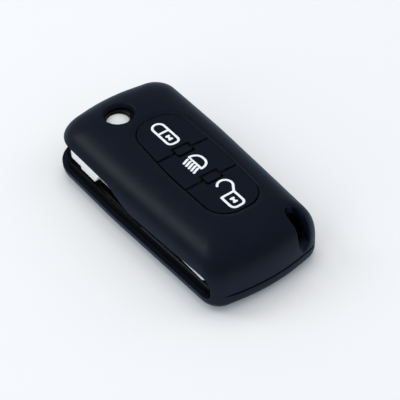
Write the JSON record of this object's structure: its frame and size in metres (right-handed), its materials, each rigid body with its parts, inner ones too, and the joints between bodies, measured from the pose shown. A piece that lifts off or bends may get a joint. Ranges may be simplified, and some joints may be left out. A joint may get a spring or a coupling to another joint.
{
  "type": "folding car key with a silicone cover",
  "caption": "Black silicone cover with three printed pads over a folding car key; the steel blade flips out of its side.",
  "frame": {"origin": "middle of the footprint, on the face that the cover rests on", "axes": "+X across the width, +Y to the end with the blade's pivot, +Z to the face with the buttons"},
  "size_m": [0.0396, 0.078, 0.0185],
  "materials": {
    "silicone": "matt moulded silicone",
    "silicone_pad": "matt silicone with white printed symbols",
    "housing": "polished moulded plastic",
    "key_rubber": "matt",
    "board": "solder-masked glass-fibre laminate",
    "switch_body": "moulded",
    "plunger": "moulded",
    "chip": "moulded epoxy",
    "steel": "plain",
    "copper_wire": "enamelled copper winding",
    "cell_steel": "pressed",
    "contact_brass": "plated spring strip",
    "blade_steel": "milled",
    "head_metal": "satin cast",
    "button_chrome": "pearl chrome"
  },
  "bodies": {
    "base": {"cover_skin": "silicone", "upper_housing": "housing", "lower_housing": "housing", "keypad_mat": "key_rubber", "circuit_board": "board", "switch_bodies": "switch_body", "controller_chip": "chip", "crystal": "steel", "transponder": "chip", "antenna_coil": "copper_wire", "coin_cell": "cell_steel", "cell_contact_top": "contact_brass", "cell_contact_bottom": "contact_brass", "housing_screw": "steel", "flip_spring": "steel"},
    "blade_assembly": {"blade": "blade_steel", "blade_head": "head_metal", "blade_pin": "steel"},
    "release": {"release_button": "button_chrome"},
    "lock_button": {"lock_pad": "silicone_pad", "lock_key": "key_rubber", "lock_plunger": "plunger"},
    "light_button": {"light_pad": "silicone_pad", "light_key": "key_rubber", "light_plunger": "plunger"},
    "unlock_button": {"unlock_pad": "silicone_pad", "unlock_key": "key_rubber", "unlock_plunger": "plunger"}
  },
  "joints": [
    {"name": "blade_flip", "type": "hinge", "parent": "base", "child": "blade_assembly", "pos_m": [-0.0033, 0.026, 0.01], "axis": [0, 0, -1], "range_deg": [0, 180]},
    {"name": "release_press", "type": "slide", "parent": "blade_assembly", "child": "release", "axis": [0, 0, -1], "range_m": [0, 0.0018], "stiffness_N_per_m": 600, "springref_m": -0.002, "deforming": ["flip_spring"]},
    {"name": "lock_press", "type": "slide", "parent": "base", "child": "lock_button", "axis": [0, 0, -1], "range_m": [0, 0.0003], "stiffness_N_per_m": 1500, "springref_m": -0.0002},
    {"name": "light_press", "type": "slide", "parent": "base", "child": "light_button", "axis": [0, 0, -1], "range_m": [0, 0.0003], "stiffness_N_per_m": 1500, "springref_m": -0.0002},
    {"name": "unlock_press", "type": "slide", "parent": "base", "child": "unlock_button", "axis": [0, 0, -1], "range_m": [0, 0.0003], "stiffness_N_per_m": 1500, "springref_m": -0.0002}
  ]
}
